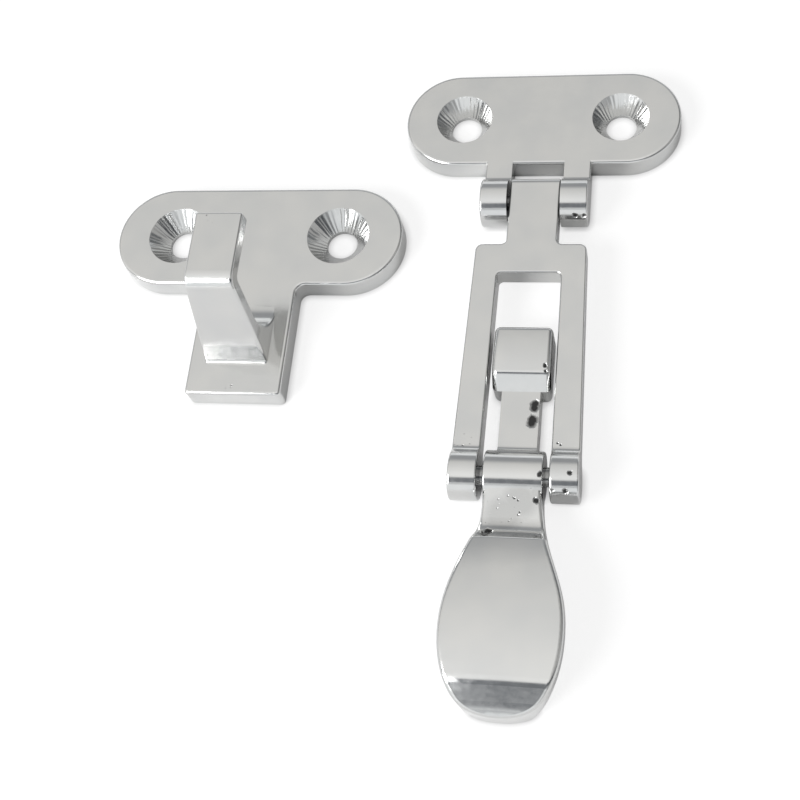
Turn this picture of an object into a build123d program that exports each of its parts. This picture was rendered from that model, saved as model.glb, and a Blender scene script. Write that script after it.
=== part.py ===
"""Over-centre toggle latch: a hinged latch half and a hooked keeper half, cast in stainless steel.

All sizes are in millimetres. X runs along the hinge pins, Y points from the lever to the base
plate, and Z points up from the mounting surface. The origin lies on the mounting surface, midway
between the two screw holes of the base plate.
"""

import os
from math import degrees

from build123d import *

# ---------------------------------------------------------------- driving dimensions

# The two mounting plates are cast to one thickness and take the same screws
plate_thickness = 4.2
plate_edge_round = 0.6
screw_hole_diameter = 5.6
screw_land = 0.8
base_plate_width = 50.0
base_plate_depth = 19.4
base_screw_spacing = 28.5
base_countersink_diameter = 10.2
keeper_plate_width = 53.4
keeper_plate_depth = 19.8
keeper_screw_spacing = 30.0
keeper_countersink_diameter = 11.4

# Knuckles of the base plate, and the pin that the link swings on
hinge_reach = 18.0
hinge_knuckle_diameter = 8.4
hinge_knuckle_width = 4.75
hinge_root_round = 1.3
hinge_pin_diameter = 2.6
hinge_side_gap = 0.25

# Link: a stem, two shoulders and two bars that end in ears
link_span = 51.1
link_thickness = 4.0
stem_width = 8.8
stem_overhang = 4.4
stem_end_round = 1.5
stem_corner_round = 1.0
shoulder_reach = 9.3
shoulder_width = 19.2
shoulder_round = 1.2
window_reach = 14.9
window_width = 11.0
window_corner_round = 0.8
ear_diameter = 8.4
ear_width = 4.7
ear_gap = 11.6
ear_root_round = 1.6
link_edge_round = 0.35

# Lever: a hub on its pin, a claw through the window and a thumb paddle.
# A reach is measured from the pin's axis along the lever, a height from the axis upwards,
# and a setback from the paddle's tip towards the pin.
lever_pin_diameter = 3.2
hub_diameter = 8.2
hub_edge_round = 0.3
hub_flank = 0.7
hub_width = 9.6
neck_width = 6.4
neck_thickness = 4.0
neck_height = 0.3
neck_root_round = 1.2
head_width = 9.8
head_reach = 25.6
head_length = 10.9
head_height = 2.8
head_crown = 0.4
head_drop = 3.8
head_heel_length = 2.4
head_nose_round = 1.0
head_heel_round = 1.2
head_end_round = 1.0
paddle_reach = 38.5
paddle_root_width = 9.4
paddle_step_width = 12.2
paddle_shoulder_width = 18.4
paddle_shoulder_reach = 21.0
paddle_width = 19.3
paddle_widest_reach = 26.2
paddle_brow_width = 16.4
paddle_brow_setback = 4.9
paddle_brow_height = 4.8
paddle_brow_round = 4.0
paddle_bow_width = 12.0
paddle_bow_setback = 1.7
paddle_nose_setback = 2.1
paddle_nose_height = 3.1
paddle_crest_reach = 24.0
paddle_crest_height = 5.6
paddle_step_reach = 11.3
paddle_step_height = 3.5
paddle_step_round = 0.8
paddle_valley_reach = 9.0
paddle_valley_height = 1.6
paddle_valley_round = 3.0
paddle_thickness = 3.2
paddle_tip_drop = 3.4
paddle_tip_height = -0.8
paddle_lip_thickness = 2.6
paddle_edge_round = 0.9
paddle_crown_radius = 60.0

# Keeper: a tongue with a horn that leans back over the plate.
# A reach is measured from the plate's long centre line towards the end of the tongue.
keeper_offset_x = -50.1
keeper_offset_y = -24.5
tongue_width = 17.2
tongue_reach = 31.3
tongue_corner_round = 0.8
tongue_root_round = 1.6
horn_root_width = 11.2
horn_bend_width = 8.1
horn_height = 22.8
horn_foot_reach = 25.2
horn_bend_reach = 19.4
horn_tip_reach = 6.4
horn_arm_thickness = 2.5
horn_finger_thickness = 2.5
horn_bend_round = 2.6
horn_throat_round = 6.0
horn_foot_round = 0.8
horn_edge_round = 0.45

# Running clearance of each pin in the piece that turns on it, measured on the radius
pin_clearance = 0.05

# ---------------------------------------------------------------- places worked out from them

hinge_y = -hinge_reach
axis_z = hinge_knuckle_diameter / 2
lever_y = hinge_y - link_span
link_top_z = axis_z + link_thickness / 2
link_bottom_z = axis_z - link_thickness / 2
paddle_brow_reach = paddle_reach - paddle_brow_setback
paddle_bow_reach = paddle_reach - paddle_bow_setback
paddle_nose_reach = paddle_reach - paddle_nose_setback


def swept_across(profile, width, x_centre=0.0):
    """A side profile drawn in the YZ plane, carried across X to the given width."""
    solid = extrude(profile, amount=width / 2, both=True)
    return Pos(x_centre, 0, 0) * solid


def rod_across(diameter, length, y, z, x_centre=0.0):
    """A round bar along X."""
    return Pos(x_centre, y, z) * Rot(0, 90, 0) * Cylinder(diameter / 2, length)


def nearest_vertex(shape, x, y):
    """The corner of a flat sketch that lies closest to a point."""
    return shape.vertices().sort_by_distance((x, y, 0))[0]


# ---------------------------------------------------------------- mounting plates

def plate_from(outline):
    """A flat plate with its top edge rounded by the polishing wheel."""
    plate = extrude(outline, amount=plate_thickness)
    return fillet(plate.faces().sort_by(Axis.Z)[-1].edges(), plate_edge_round)


def screw_holes(spacing, countersink_diameter):
    """Two countersunk holes, as solids to cut away."""
    hole_radius = screw_hole_diameter / 2
    sink_depth = plate_thickness - screw_land
    drill = Pos(0, 0, plate_thickness / 2) * Cylinder(hole_radius, 2 * plate_thickness)
    sink = Pos(0, 0, screw_land + sink_depth / 2) * Cone(hole_radius, countersink_diameter / 2, sink_depth)
    tool = drill + sink
    return Pos(-spacing / 2, 0, 0) * tool + Pos(spacing / 2, 0, 0) * tool


# ---------------------------------------------------------------- latch half

def base_plate():
    """The mounting plate with its two hinge knuckles, cast in one."""
    plate = plate_from(SlotOverall(base_plate_width, base_plate_depth))
    root_y = -base_plate_depth / 2 + 2 * plate_edge_round
    knuckle = Pos(hinge_y, axis_z) * Circle(hinge_knuckle_diameter / 2)
    arm = Pos((hinge_y + root_y) / 2, plate_thickness / 2) * Rectangle(root_y - hinge_y, plate_thickness)
    profile = knuckle + arm
    inner_corner = nearest_vertex(profile, hinge_y + hinge_knuckle_diameter / 2, plate_thickness)
    profile = Plane.YZ * fillet(inner_corner, hinge_root_round)
    lug_x = stem_width / 2 + hinge_side_gap + hinge_knuckle_width / 2
    lug = swept_across(profile, hinge_knuckle_width)
    lug = fillet(lug.faces().sort_by(Axis.X)[-1].edges(), link_edge_round)
    solid = plate + Pos(lug_x, 0, 0) * lug + mirror(Pos(lug_x, 0, 0) * lug, Plane.YZ)
    solid = solid - screw_holes(base_screw_spacing, base_countersink_diameter)
    return solid - rod_across(hinge_pin_diameter, base_plate_width, hinge_y, axis_z)


def hinge_pin():
    """The plain pin pressed through both knuckles and polished flush."""
    length = stem_width + 2 * hinge_side_gap + 2 * hinge_knuckle_width
    return rod_across(hinge_pin_diameter, length, hinge_y, axis_z)


def link_outline():
    """The link seen from above, before the window is cut."""
    shoulder_y = hinge_y - shoulder_reach
    end_y = lever_y - ear_diameter
    ear_outer = ear_gap / 2 + ear_width
    slope = (ear_outer - shoulder_width / 2) / (shoulder_y - lever_y)
    end_outer = ear_outer + slope * ear_diameter
    right = [
        (0, hinge_y + stem_overhang),
        (stem_width / 2, hinge_y + stem_overhang),
        (stem_width / 2, shoulder_y),
        (shoulder_width / 2, shoulder_y),
        (end_outer, end_y),
        (0, end_y),
    ]
    left = [(-x, y) for x, y in reversed(right[1:-1])]
    outline = make_face(Polyline(*right, *left, close=True))
    for side in (-1, 1):
        outline = fillet(nearest_vertex(outline, side * shoulder_width / 2, shoulder_y), shoulder_round)
        outline = fillet(nearest_vertex(outline, side * stem_width / 2, shoulder_y), stem_corner_round)
    return outline


def link_window():
    """The gap between the bars, open at the lever end."""
    top_y = hinge_y - window_reach
    end_y = lever_y - 2 * ear_diameter
    slope = (ear_gap - window_width) / 2 / (top_y - lever_y)
    end_half = ear_gap / 2 + slope * (lever_y - end_y)
    corners = [
        (-window_width / 2, top_y),
        (window_width / 2, top_y),
        (end_half, end_y),
        (-end_half, end_y),
    ]
    window = make_face(Polyline(*corners, close=True))
    for side in (-1, 1):
        window = fillet(nearest_vertex(window, side * window_width / 2, top_y), window_corner_round)
    return window


def link_side():
    """The link seen from its side: a flat bar that ends in a round ear."""
    stem_end = hinge_y + stem_overhang
    bar = Pos((stem_end + lever_y) / 2, axis_z) * Rectangle(stem_end - lever_y, link_thickness)
    for z in (link_top_z, link_bottom_z):
        bar = fillet(nearest_vertex(bar, stem_end, z), stem_end_round)
    profile = bar + Pos(lever_y, axis_z) * Circle(ear_diameter / 2)
    for z in (link_top_z, link_bottom_z):
        profile = fillet(nearest_vertex(profile, lever_y + ear_diameter / 2, z), ear_root_round)
    return Plane.YZ * profile


def link():
    """The forked link: stem, shoulders, bars and ears, cast in one."""
    tall = 2 * ear_diameter
    solid = swept_across(link_side(), 2 * shoulder_width) & extrude(link_outline(), amount=tall)
    solid = solid - extrude(link_window(), amount=tall)
    top = solid.faces().filter_by(Axis.Z).sort_by(Axis.Z)[-1]
    solid = fillet(top.edges(), link_edge_round)
    solid = solid - rod_across(hinge_pin_diameter + 2 * pin_clearance, base_plate_width, hinge_y, axis_z)
    return solid - rod_across(lever_pin_diameter, base_plate_width, lever_y, axis_z)


def lever_pin():
    """The plain pin pressed through both ears and polished flush."""
    return rod_across(lever_pin_diameter, ear_gap + 2 * ear_width, lever_y, axis_z)


# ---------------------------------------------------------------- lever

def lever_point(reach, height):
    """A place on the lever's side view, as (Y, Z)."""
    return (lever_y - reach, axis_z + height)


def claw():
    """The neck and the cross head that bears on the keeper's horn."""
    far = -head_reach
    near = head_length - head_reach
    neck_bottom = neck_height - neck_thickness
    neck_corners = [
        lever_point(0, neck_bottom),
        lever_point(0, neck_height),
        lever_point(far / 2 + near / 2, neck_height),
        lever_point(far / 2 + near / 2, neck_bottom),
    ]
    hub_side = Pos(*lever_point(0, 0)) * Circle(hub_diameter / 2)
    side = make_face(Polyline(*neck_corners, close=True)) + hub_side
    side = fillet(nearest_vertex(side, lever_y + hub_diameter / 2, axis_z + neck_height), neck_root_round)
    head_corners = [
        lever_point(far, -head_drop),
        lever_point(far, head_height),
        lever_point(near - head_heel_length, head_height),
        lever_point(near, neck_height),
        lever_point(near, -head_drop),
    ]
    crown_reach = (far + near - head_heel_length) / 2
    crown_middle = lever_point(crown_reach, head_height + head_crown)
    crown = ThreePointArc(head_corners[1], crown_middle, head_corners[2])
    head_side = make_face(Line(*head_corners[:2]) + crown + Polyline(*head_corners[2:], head_corners[0]))
    rounds = (head_nose_round, head_nose_round, head_heel_round)
    for corner, radius in zip(head_corners, rounds):
        head_side = fillet(nearest_vertex(head_side, *corner), radius)
    head = swept_across(Plane.YZ * head_side, head_width)
    end_edges = head.faces().sort_by(Axis.X)[0].edges() + head.faces().sort_by(Axis.X)[-1].edges()
    return swept_across(Plane.YZ * side, neck_width) + fillet(end_edges, head_end_round)


def is_paddle_rim(edge):
    """Whether an edge runs along the paddle's upper side, past the valley."""
    middle = edge.center()
    past_hub = lever_y - middle.Y > hub_diameter / 2
    off_centre = abs(middle.X) > hub_width / 4
    return past_hub and off_centre and middle.Z > axis_z


def paddle_side():
    """The paddle seen from its side: a valley, a step, a long crown, a sloping facet and a rolled tip."""
    valley = lever_point(paddle_valley_reach, paddle_valley_height)
    step = lever_point(paddle_step_reach, paddle_step_height)
    crest = lever_point(paddle_crest_reach, paddle_crest_height)
    brow = lever_point(paddle_brow_reach, paddle_brow_height)
    shoulder = lever_point(paddle_nose_reach, paddle_nose_height)
    nose_reach = paddle_reach + paddle_edge_round
    tip = lever_point(nose_reach, paddle_tip_height)
    toe = lever_point(nose_reach, -paddle_tip_drop)
    heel = lever_point(paddle_reach - paddle_lip_thickness, -paddle_tip_drop)
    under_nose_reach = paddle_nose_reach - paddle_lip_thickness
    under_nose = lever_point(under_nose_reach, paddle_nose_height - paddle_thickness)
    under_crest = lever_point(paddle_crest_reach, paddle_crest_height - paddle_thickness)
    under_step = lever_point(paddle_step_reach, paddle_step_height - paddle_thickness)
    hub_back = hub_diameter / 2 * hub_flank
    hub_top = lever_point(hub_back, hub_back)
    hub_bottom = lever_point(hub_back, -hub_back)
    crown = ThreePointArc(step, crest, brow)
    facet = Line(brow, shoulder)
    nose = Spline(shoulder, tip, tangents=(facet % 1, (0, -1)))
    outline = Polyline(hub_bottom, lever_point(0, 0), hub_top, valley, step)
    outline += crown + facet + nose + Polyline(tip, toe, heel)
    outline += Spline(heel, under_nose, under_crest, under_step, hub_bottom)
    side = make_face(outline)
    side = fillet(nearest_vertex(side, *valley), paddle_valley_round)
    side = fillet(nearest_vertex(side, *brow), paddle_brow_round)
    return fillet(nearest_vertex(side, *step), paddle_step_round)


def paddle_outline():
    """The paddle seen from above: narrow at the hub, widest past its middle and round at the tip."""
    right = [
        (paddle_root_width / 2, 0),
        (paddle_step_width / 2, paddle_step_reach),
        (paddle_shoulder_width / 2, paddle_shoulder_reach),
        (paddle_width / 2, paddle_widest_reach),
        (paddle_brow_width / 2, paddle_brow_reach),
        (paddle_bow_width / 2, paddle_bow_reach),
    ]
    left = [(-x, reach) for x, reach in reversed(right)]
    places = [(x, lever_y - reach) for x, reach in right + [(0, paddle_reach)] + left]
    edge = Spline(*places, tangents=((0, -1), (0, 1)))
    return make_face(edge + Line(places[-1], places[0]))


def paddle():
    """The thumb paddle: a shell crowned both ways and rounded along its rim."""
    crown_axis = Axis((0, 0, axis_z + paddle_crest_height - paddle_crown_radius), (0, 1, 0))
    half_turn = degrees(paddle_width / paddle_crown_radius)
    shell = revolve(Plane.YZ * paddle_side(), crown_axis, 2 * half_turn)
    shell = shell.rotate(crown_axis, -half_turn)
    solid = shell & extrude(paddle_outline(), amount=paddle_reach)
    rim = [edge for edge in solid.edges() if is_paddle_rim(edge)]
    return fillet(rim, paddle_edge_round)


def lever():
    """Hub, claw and paddle, cast in one and bored for the pin."""
    hub = fillet(rod_across(hub_diameter, hub_width, lever_y, axis_z).edges(), hub_edge_round)
    solid = hub + claw() + paddle()
    return solid - rod_across(lever_pin_diameter + 2 * pin_clearance, base_plate_width, lever_y, axis_z)


# ---------------------------------------------------------------- keeper half

def is_horn_edge(edge):
    """Whether an edge runs up the side of the horn or round the end of its finger."""
    middle = edge.center()
    return middle.Z > plate_thickness + horn_foot_round and edge.length > horn_foot_round


def horn():
    """The hooked horn: an arm that leans back, a bend and a finger over the throat."""
    top = horn_height
    under = horn_height - horn_finger_thickness
    lean = (horn_foot_reach - horn_bend_reach) / (horn_height - plate_thickness)
    foot_back = horn_foot_reach - horn_arm_thickness * (1 + lean ** 2) ** 0.5
    bend_back = foot_back - lean * (under - plate_thickness)
    bed = plate_thickness / 2
    bed_front = horn_foot_reach + 2 * horn_foot_round
    bed_back = horn_foot_reach / 2 - horn_throat_round / 2
    corners = [
        (-bed_front, bed),
        (-bed_front, plate_thickness),
        (-horn_foot_reach, plate_thickness),
        (-horn_bend_reach, top),
        (-horn_tip_reach, top),
        (-horn_tip_reach, under),
        (-bend_back, under),
        (-foot_back, plate_thickness),
        (-bed_back, plate_thickness),
        (-bed_back, bed),
    ]
    side = make_face(Polyline(*corners, close=True))
    rounds = {2: horn_foot_round, 3: horn_bend_round, 6: horn_foot_round, 7: horn_throat_round}
    for corner, radius in rounds.items():
        side = fillet(nearest_vertex(side, *corners[corner]), radius)
    taper = (horn_root_width - horn_bend_width) / 2 / (horn_height - plate_thickness)
    root_half = horn_root_width / 2 + taper * plate_thickness
    front_view = [(-root_half, 0), (root_half, 0), (horn_bend_width / 2, top), (-horn_bend_width / 2, top)]
    front = Plane.XZ * make_face(Polyline(*front_view, close=True))
    solid = swept_across(Plane.YZ * side, 2 * horn_root_width) & extrude(front, amount=2 * bed_front)
    return fillet([edge for edge in solid.edges() if is_horn_edge(edge)], horn_edge_round)


def keeper():
    """Plate, tongue and horn, cast in one and set beside the latch half."""
    tongue = Pos(0, -tongue_reach / 2) * Rectangle(tongue_width, tongue_reach)
    outline = SlotOverall(keeper_plate_width, keeper_plate_depth) + tongue
    for side in (-1, 1):
        edge_x = side * tongue_width / 2
        root_corner = nearest_vertex(outline, edge_x, -keeper_plate_depth / 2)
        outline = fillet(root_corner, tongue_root_round)
        outline = fillet(nearest_vertex(outline, edge_x, -tongue_reach), tongue_corner_round)
    solid = plate_from(outline) + horn()
    solid = solid - screw_holes(keeper_screw_spacing, keeper_countersink_diameter)
    return Pos(keeper_offset_x, keeper_offset_y, 0) * solid


# ---------------------------------------------------------------- one file for each piece

pieces = {
    "base_plate": base_plate(),
    "hinge_pin": hinge_pin(),
    "link": link(),
    "lever_pin": lever_pin(),
    "lever": lever(),
    "keeper": keeper(),
}
os.makedirs("parts", exist_ok=True)
for name, solid in pieces.items():
    export_step(solid, f"parts/{name}.step")
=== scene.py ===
"""An over-centre toggle latch and its keeper in polished cast stainless steel, on white paper."""

import math

import bmesh
import bpy
from mathutils import Matrix, Vector

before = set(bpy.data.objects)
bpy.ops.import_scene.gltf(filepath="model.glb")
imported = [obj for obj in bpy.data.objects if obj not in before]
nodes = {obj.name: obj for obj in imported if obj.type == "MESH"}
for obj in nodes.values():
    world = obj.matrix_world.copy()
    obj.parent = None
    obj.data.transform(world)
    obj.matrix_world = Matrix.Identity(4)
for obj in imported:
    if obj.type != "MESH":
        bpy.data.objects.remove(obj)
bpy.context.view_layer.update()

# ------------------------------------------------------------------ camera
# The camera stands over the lever end and looks down on both halves of the latch.

view_azimuth = math.radians(23.9965)
view_elevation = math.radians(65.0507)
view_roll = math.radians(20.7551)
view_distance = 0.2150813
view_aim = Vector((-0.010952, -0.0541974, 0.0))
focal_pixels = 1267.97
picture_pixels = 800
centre_pixels = (460.0, 400.0)

forward = Vector((
    -math.sin(view_azimuth) * math.cos(view_elevation),
    math.cos(view_azimuth) * math.cos(view_elevation),
    -math.sin(view_elevation),
))
level_right = forward.cross(Vector((0, 0, 1))).normalized()
level_down = forward.cross(level_right)
camera_right = math.cos(view_roll) * level_right + math.sin(view_roll) * level_down
camera_down = math.cos(view_roll) * level_down - math.sin(view_roll) * level_right

camera_data = bpy.data.cameras.new("camera")
camera_data.sensor_width = 36.0
camera_data.lens = focal_pixels / picture_pixels * camera_data.sensor_width
camera_data.shift_x = (picture_pixels / 2 - centre_pixels[0]) / picture_pixels
camera_data.shift_y = (centre_pixels[1] - picture_pixels / 2) / picture_pixels
camera_data.clip_start = 0.01
camera = bpy.data.objects.new("camera", camera_data)
scene = bpy.context.scene
scene.collection.objects.link(camera)
camera.matrix_world = (
    Matrix.Translation(view_aim - view_distance * forward)
    @ Matrix((camera_right, -camera_down, -forward)).transposed().to_4x4()
)
scene.camera = camera
scene.view_settings.view_transform = "Standard"

# ------------------------------------------------------------------ room
# White paper stands behind the table, under a grey wall and a pale ceiling. The near side of
# the room is dim. One broad window at the left front gives the light.


def add(tree, kind, **settings):
    """A new node. A setting names one of the node's own fields or one of its sockets."""
    node = tree.nodes.new(kind)
    for name, value in settings.items():
        if name in node.bl_rna.properties:
            setattr(node, name, value)
            continue
        socket = node.inputs[name.replace("_", " ")]
        if isinstance(value, bpy.types.NodeSocket):
            tree.links.new(value, socket)
        else:
            socket.default_value = value
    return node


def fill(tree, sockets, terms):
    """Links or sets a row of sockets."""
    for socket, term in zip(sockets, terms):
        if isinstance(term, bpy.types.NodeSocket):
            tree.links.new(term, socket)
        else:
            socket.default_value = term


def maths(tree, operation, *terms):
    """The result of a Math node over sockets and plain numbers."""
    node = add(tree, "ShaderNodeMath", operation=operation)
    fill(tree, node.inputs, terms)
    return node.outputs[0]


def vectors(tree, operation, *terms):
    """The Vector Math node over sockets and plain vectors."""
    node = add(tree, "ShaderNodeVectorMath", operation=operation)
    fill(tree, node.inputs, terms)
    return node


def ramp(tree, factor, *stops):
    """A colour ramp. Each stop is a place and a grey level or a colour."""
    node = tree.nodes.new("ShaderNodeValToRGB")
    elements = node.color_ramp.elements
    while len(elements) < len(stops):
        elements.new(0.5)
    for element, (place, level) in zip(elements, stops):
        element.position = place
        grey = (level, level, level)
        element.color = (*(level if isinstance(level, tuple) else grey), 1.0)
    tree.links.new(factor, node.inputs[0])
    return node.outputs["Color"]


def mix(tree, blend, amount, first, second):
    """Two colours mixed."""
    node = add(tree, "ShaderNodeMix", data_type="RGBA", blend_type=blend)
    fill(tree, (node.inputs[0], node.inputs[6], node.inputs[7]), (amount, first, second))
    return node.outputs[2]


def mix_shaders(tree, factor, first, second):
    """Two shaders mixed: the first where the factor is zero, the second where it is one."""
    node = tree.nodes.new("ShaderNodeMixShader")
    fill(tree, node.inputs, (factor, first.outputs[0], second.outputs[0]))
    return node


def ray_kinds(tree):
    """Whether a ray comes from the camera, and whether it was reflected by metal."""
    rays = add(tree, "ShaderNodeLightPath").outputs
    in_metal = maths(tree, "MAXIMUM", rays["Is Glossy Ray"], rays["Is Transmission Ray"])
    return rays["Is Camera Ray"], in_metal


paper_white = (0.97, 0.99, 1.0)
shaded_paper = (0.45, 0.46, 0.47)
wall_grey = (0.37, 0.38, 0.39)
ceiling_low = (0.76, 0.755, 0.74)
ceiling_high = (0.90, 0.895, 0.88)
ceiling_near = (1.03, 1.03, 1.02)
dim_room = (0.20, 0.21, 0.225)
room_bands = (
    (0.000, paper_white),
    (0.060, paper_white),
    (0.090, wall_grey),
    (0.195, wall_grey),
    (0.290, ceiling_low),
    (0.430, ceiling_high),
    (0.590, ceiling_near),
    (0.655, ceiling_near),
    (0.690, dim_room),
    (0.797, dim_room),
    (0.813, paper_white),
    (0.835, shaded_paper),
    (0.860, paper_white),
    (1.000, paper_white),
)
right_wall_shade = ((0.66, 1.0), (0.84, 0.42), (1.0, 0.55))
even_strength = 0.38
world = bpy.data.worlds.new("room")
scene.world = world
world.use_nodes = True
tree = world.node_tree
tree.nodes.clear()
toward = add(tree, "ShaderNodeTexCoord").outputs["Generated"]
toward = add(tree, "ShaderNodeSeparateXYZ", Vector=toward).outputs
# The angle over the room, from the far horizon across the ceiling to the near one
overhead = maths(tree, "DIVIDE", maths(tree, "ARCTAN2", toward["Z"], toward["Y"]), math.pi)
to_the_right = maths(tree, "MULTIPLY_ADD", toward["X"], 0.5, 0.5)
right_wall = ramp(tree, to_the_right, *right_wall_shade)
room = mix(tree, "MULTIPLY", 1.0, ramp(tree, overhead, *room_bands), right_wall)
reflected_room = add(tree, "ShaderNodeBackground", Color=room)
even_light = add(tree, "ShaderNodeBackground", Color=(1, 1, 1, 1), Strength=even_strength)
backdrop = add(tree, "ShaderNodeBackground", Color=(1, 1, 1, 1))
seen, in_metal = ray_kinds(tree)
lit = mix_shaders(tree, in_metal, even_light, reflected_room)
shown = mix_shaders(tree, seen, lit, backdrop)
add(tree, "ShaderNodeOutputWorld", Surface=shown.outputs[0])

window_size = 0.55
window_watts = 6.5
window_place = Vector((-0.55, -0.50, 0.46))
window_target = Vector((-0.02, -0.05, 0.0))
window_data = bpy.data.lights.new("window", "AREA")
window_data.shape = "DISK"
window_data.size = window_size
window_data.energy = window_watts
window = bpy.data.objects.new("window", window_data)
scene.collection.objects.link(window)
window.location = window_place
window.rotation_euler = (window_target - window_place).to_track_quat("-Z", "Y").to_euler()

# ------------------------------------------------------------------ table
# White paper on the table, with the latch's own soft shadow and a painted contact shadow, a dark
# line where the steel meets it.

table_size = 3.0
contact_shadow_reach = 0.0013
contact_shadow_level = 0.2
matt_level = 0.85
matt_level_seen = 0.35
glow_seen = 0.79
glow_in_metal = 0.12
paper_mesh = bpy.data.meshes.new("table")
bm = bmesh.new()
bmesh.ops.create_grid(bm, x_segments=1, y_segments=1, size=table_size / 2)
bm.to_mesh(paper_mesh)
bm.free()
table = bpy.data.objects.new("table", paper_mesh)
scene.collection.objects.link(table)
paper = bpy.data.materials.new("white_paper")
paper.use_nodes = True
tree = paper.node_tree
tree.nodes.clear()
seen, in_metal = ray_kinds(tree)
matt = maths(tree, "MULTIPLY_ADD", seen, matt_level_seen - matt_level, matt_level)
matt = add(tree, "ShaderNodeBsdfDiffuse", Color=matt)
# Ambient occlusion dims the paper's glow beside the steel: a painted contact shadow.
nearness = add(tree, "ShaderNodeAmbientOcclusion", samples=8, Distance=contact_shadow_reach).outputs["AO"]
contact_shadow = maths(tree, "MULTIPLY_ADD", nearness, 1 - contact_shadow_level, contact_shadow_level)
glow = maths(tree, "MULTIPLY_ADD", in_metal, glow_in_metal, maths(tree, "MULTIPLY", seen, glow_seen))
glow = maths(tree, "MULTIPLY", glow, contact_shadow)
lift = add(tree, "ShaderNodeEmission", Color=(1, 1, 1, 1), Strength=glow)
both = tree.nodes.new("ShaderNodeAddShader")
fill(tree, both.inputs, (matt.outputs[0], lift.outputs[0]))
add(tree, "ShaderNodeOutputMaterial", Surface=both.outputs[0])
paper_mesh.materials.append(paper)

# ------------------------------------------------------------------ base plate
# Cast stainless steel, ground flat and mirror polished. The polish leaves a slight wave, the
# cutter fine ribs down the two countersinks, and the casting a few dents in a knuckle. Its
# crevices get painted shade, and its dents a painted dark reflection.

steel_pale = (0.715, 0.715, 0.705)
steel_deep = (0.675, 0.680, 0.678)
polish_roughness = ((0.30, 0.11), (0.70, 0.19))
wave_scale = 170.0
wave_height = 0.00003
haze_scale = 900.0
haze_height = 0.000002
crevice_reach = 0.0022
# Painted shade: ambient occlusion darkens the steel's base colour in crevices and beside the table.
painted_crevice_shade = ((0.12, 0.10), (0.30, 0.45), (0.60, 1.0))
# Dents are sunk by bump and painted near black: a painted dark reflection.
dent_painted_reflection = (0.05, 0.05, 0.05, 1)
dent_depth = 0.00015
dent_raggedness = 0.0005
ragged_scale = 1500.0
# Grey that darkens the skin round pits where asked: painted shade.
painted_shade_grey = (0.60, 0.60, 0.60, 1)
pit_scale = 1250.0
pit_size = ((0.14, 1.0), (0.26, 0.0))
# Tiny pits are sunk by bump and painted dark: painted shade in them.
pit_painted_shade = (0.10, 0.10, 0.10, 1)
pit_depth = 0.00006
clump_scale = 700.0
clump_spread = ((0.46, 0.0), (0.50, 1.0))
hole_roughness = 0.35
seat_top = 0.0041
rib_count = 34
rib_height = 0.00004
rib_wander = 9.0


def spot(tree, place, centre, reach):
    """One inside a soft ball round a centre, and nothing outside it."""
    away = vectors(tree, "DISTANCE", place, centre).outputs["Value"]
    return ramp(tree, maths(tree, "DIVIDE", away, reach), (0.55, 1.0), (1.0, 0.0))


def spots(tree, place, balls):
    """One inside any of several soft balls, each a centre and a reach."""
    area = 0.0
    for centre, reach in balls:
        area = maths(tree, "MAXIMUM", area, spot(tree, place, centre, reach))
    return area


def sink(tree, look, holes, dark, depth):
    """A look, which is a colour, a roughness and a normal, with rough holes sunk into it and painted in
    the given dark colour, which is painted shade for pits and a painted dark reflection for dents.
    """
    colour, roughness, normal = look
    colour = mix(tree, "MIX", holes, colour, dark)
    roughness = maths(tree, "MULTIPLY_ADD", holes, hole_roughness, roughness)
    sunk = add(tree, "ShaderNodeBump", invert=True, Strength=1.0, Distance=depth, Height=holes)
    tree.links.new(normal, sunk.inputs["Normal"])
    return colour, roughness, sunk.outputs["Normal"]


def dented(tree, place, look, dents):
    """A look with single ragged dents, painted near black as a painted dark reflection."""
    ragged = add(tree, "ShaderNodeTexNoise", Vector=place, Scale=ragged_scale, Detail=2.0)
    ragged = vectors(tree, "SUBTRACT", ragged.outputs["Color"], (0.5, 0.5, 0.5)).outputs[0]
    shifted = vectors(tree, "MULTIPLY_ADD", ragged, (dent_raggedness,) * 3, place).outputs[0]
    return sink(tree, look, spots(tree, shifted, dents), dent_painted_reflection, dent_depth)


def pitted(tree, place, look, pits, skin_painted_shade):
    """A look with clumps of tiny casting pits, painted dark as painted shade, inside each ball, on skin
    darkened by painted shade.
    """
    area = spots(tree, place, pits)
    colour, roughness, normal = look
    colour = mix(tree, "MULTIPLY", maths(tree, "MULTIPLY", area, skin_painted_shade), colour, painted_shade_grey)
    cells = add(tree, "ShaderNodeTexVoronoi", Vector=place, Scale=pit_scale, Randomness=1.0)
    clumps = add(tree, "ShaderNodeTexNoise", Vector=place, Scale=clump_scale, Detail=2.0)
    holes = ramp(tree, cells.outputs["Distance"], *pit_size)
    holes = maths(tree, "MULTIPLY", holes, ramp(tree, clumps.outputs["Fac"], *clump_spread))
    holes = maths(tree, "MULTIPLY", holes, area)
    return sink(tree, (colour, roughness, normal), holes, pit_painted_shade, pit_depth)


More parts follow.
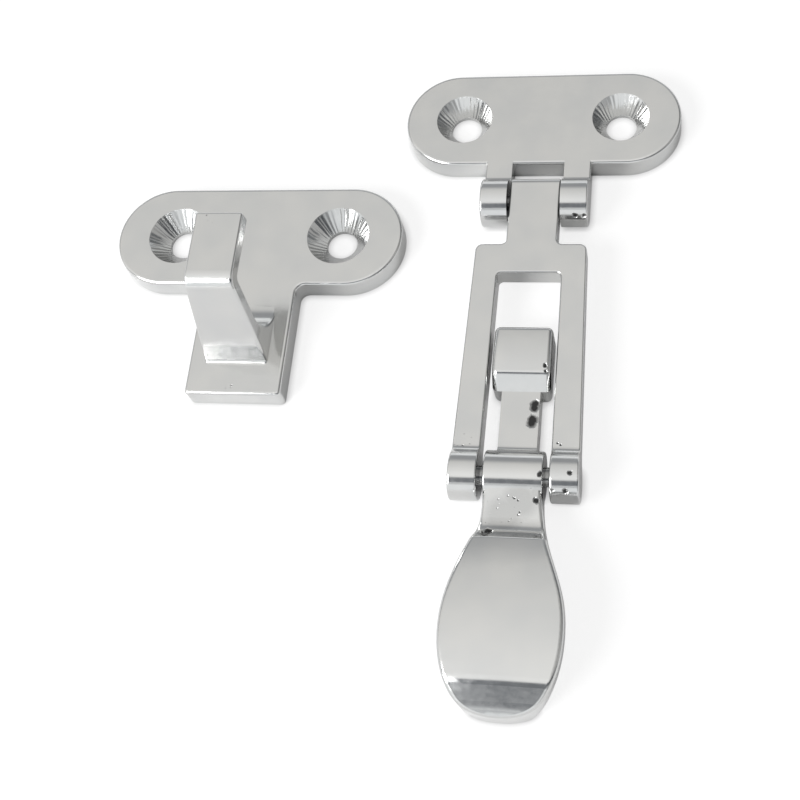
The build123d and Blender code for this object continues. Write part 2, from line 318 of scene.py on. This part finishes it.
def ribbed(tree, place, look, wave, seats, rim):
    """A look with wandering ribs that run down the countersinks, each a centre and one rim."""
    axes = add(tree, "ShaderNodeSeparateXYZ", Vector=place).outputs
    ribs = 0.0
    for x, y in seats:
        across = maths(tree, "SUBTRACT", axes["X"], x)
        along = maths(tree, "SUBTRACT", axes["Y"], y)
        turn = maths(tree, "MULTIPLY", maths(tree, "ARCTAN2", along, across), rib_count)
        rib = maths(tree, "SINE", maths(tree, "MULTIPLY_ADD", wave, rib_wander, turn))
        rib = maths(tree, "MULTIPLY_ADD", rib, 0.5, 0.5)
        squares = [maths(tree, "POWER", side, 2) for side in (across, along)]
        away = maths(tree, "SQRT", maths(tree, "ADD", *squares))
        inside = maths(tree, "LESS_THAN", away, rim)
        ribs = maths(tree, "ADD", ribs, maths(tree, "MULTIPLY", rib, inside))
    ribs = maths(tree, "MULTIPLY", ribs, maths(tree, "LESS_THAN", axes["Z"], seat_top))
    colour, roughness, normal = look
    cut = add(tree, "ShaderNodeBump", Strength=0.8, Distance=rib_height, Height=ribs, Normal=normal)
    return colour, roughness, cut.outputs["Normal"]


def polished_steel(name, pits=(), skin_painted_shade=0.0, dents=(), seats=(), rim=0.0):
    """Polished cast steel, with painted shade in its crevices. Pits and dents are (centre, reach)
    balls, the skin round the pits gets as much painted shade as given, and seats are the centres
    of countersinks that are rim in radius."""
    material = bpy.data.materials.new(name)
    material.use_nodes = True
    tree = material.node_tree
    shader = tree.nodes["Principled BSDF"]
    shader.inputs["Metallic"].default_value = 1.0
    place = add(tree, "ShaderNodeTexCoord").outputs["Object"]
    wave = add(tree, "ShaderNodeTexNoise", Vector=place, Scale=wave_scale, Detail=1.5, Roughness=0.45)
    haze = add(tree, "ShaderNodeTexNoise", Vector=place, Scale=haze_scale, Detail=4.0, Roughness=0.65)
    wave = wave.outputs["Fac"]
    haze = haze.outputs["Fac"]
    coarse = add(tree, "ShaderNodeBump", Strength=1.0, Distance=wave_height, Height=wave)
    coarse = coarse.outputs["Normal"]
    fine = add(tree, "ShaderNodeBump", Strength=0.6, Distance=haze_height, Height=haze, Normal=coarse)
    # Painted shade in the base colour wherever ambient occlusion finds crevices.
    nearness = add(tree, "ShaderNodeAmbientOcclusion", samples=8, Distance=crevice_reach)
    painted_shade = ramp(tree, nearness.outputs["AO"], *painted_crevice_shade)
    colour = mix(tree, "MULTIPLY", 1.0, ramp(tree, wave, (0.32, steel_deep), (0.68, steel_pale)), painted_shade)
    look = colour, ramp(tree, haze, *polish_roughness), fine.outputs["Normal"]
    if dents:
        look = dented(tree, place, look, dents)
    if pits:
        look = pitted(tree, place, look, pits, skin_painted_shade)
    if seats:
        look = ribbed(tree, place, look, wave, seats, rim)
    for socket, value in zip(("Base Color", "Roughness", "Normal"), look):
        tree.links.new(value, shader.inputs[socket])
    return material


def dress(name, material):
    """Gives a cast or turned part its finish."""
    nodes[name].data.materials.clear()
    nodes[name].data.materials.append(material)


plate_seats = ((-0.01425, 0.0), (0.01425, 0.0))
plate_seat_rim = 0.0051
plate_dents = (
    ((0.0092, -0.0203, 0.0083), 0.00050),
    ((0.0078, -0.0208, 0.0083), 0.00045),
    ((0.0088, -0.0221, 0.0062), 0.00060),
    ((0.0073, -0.0218, 0.0062), 0.00055),
)
plate_steel = polished_steel("base_plate_steel", dents=plate_dents, seats=plate_seats, rim=plate_seat_rim)
dress("base_plate", plate_steel)

# ------------------------------------------------------------------ pins
# Two plain rods of the same steel, pressed in and polished flush with the knuckles and the
# ears.

pin_finish = polished_steel("pin_steel")
for name in ("hinge_pin", "lever_pin"):
    dress(name, pin_finish)

# ------------------------------------------------------------------ link
# The forked link is cast in one. The bars are polished flat, the corners by the ears keep a few
# casting pits with painted shade in them, and the right ear has some dents with a painted dark
# reflection.

link_pits = (((-0.0084, -0.0645, 0.0070), 0.0021), ((0.0070, -0.0641, 0.0070), 0.0019))
link_dents = (
    ((0.0066, -0.0628, 0.0070), 0.00055),
    ((0.0072, -0.0640, 0.0070), 0.00065),
    ((0.0062, -0.0651, 0.0070), 0.00075),
    ((0.0091, -0.0697, 0.0083), 0.00045),
    ((0.0064, -0.0719, 0.0068), 0.00050),
    ((0.0084, -0.0721, 0.0068), 0.00060),
    ((-0.0092, -0.0641, 0.0070), 0.00045),
    ((-0.0078, -0.0652, 0.0070), 0.00045),
)
dress("link", polished_steel("link_steel", pits=link_pits, dents=link_dents))

# ------------------------------------------------------------------ lever
# Hub, claw and thumb paddle are one casting. The hollow behind the hub is pitted, and painted
# shade darkens it there. Two dents lie at the neck's right edge, with a painted dark reflection.

lever_pits = (
    ((0.0014, -0.0739, 0.0062), 0.0034),
    ((0.0043, -0.0727, 0.0066), 0.0019),
    ((-0.0012, -0.0764, 0.0060), 0.0036),
)
lever_dents = (
    ((0.00245, -0.0566, 0.0048), 0.00100),
    ((0.00240, -0.0572, 0.0048), 0.00095),
    ((0.00225, -0.0593, 0.0048), 0.00110),
    ((0.00205, -0.0599, 0.0048), 0.00105),
    ((0.00395, -0.0508, 0.0072), 0.00045),
    ((0.00410, -0.0518, 0.0072), 0.00040),
    ((0.00443, -0.0700, 0.0083), 0.00050),
    ((0.00390, -0.0739, 0.0067), 0.00060),
    ((-0.00330, -0.0792, 0.0066), 0.00080),
)
# How much painted shade darkens the hollow behind the hub.
hollow_painted_shade = 0.4
lever_steel = polished_steel("lever_steel", pits=lever_pits, skin_painted_shade=hollow_painted_shade, dents=lever_dents)
dress("lever", lever_steel)

# ------------------------------------------------------------------ keeper
# The second half: a plate with a tongue and a hooked horn, cast in one and polished like the
# rest. Its horn and its tongue show a few pits on top, with painted shade in them.

keeper_seats = ((-0.0651, -0.0245), (-0.0351, -0.0245))
keeper_seat_rim = 0.0057
keeper_pits = (((-0.0516, -0.0324, 0.0228), 0.0017), ((-0.0507, -0.0540, 0.0042), 0.0012))
keeper_steel = polished_steel("keeper_steel", pits=keeper_pits, seats=keeper_seats, rim=keeper_seat_rim)
dress("keeper", keeper_steel)
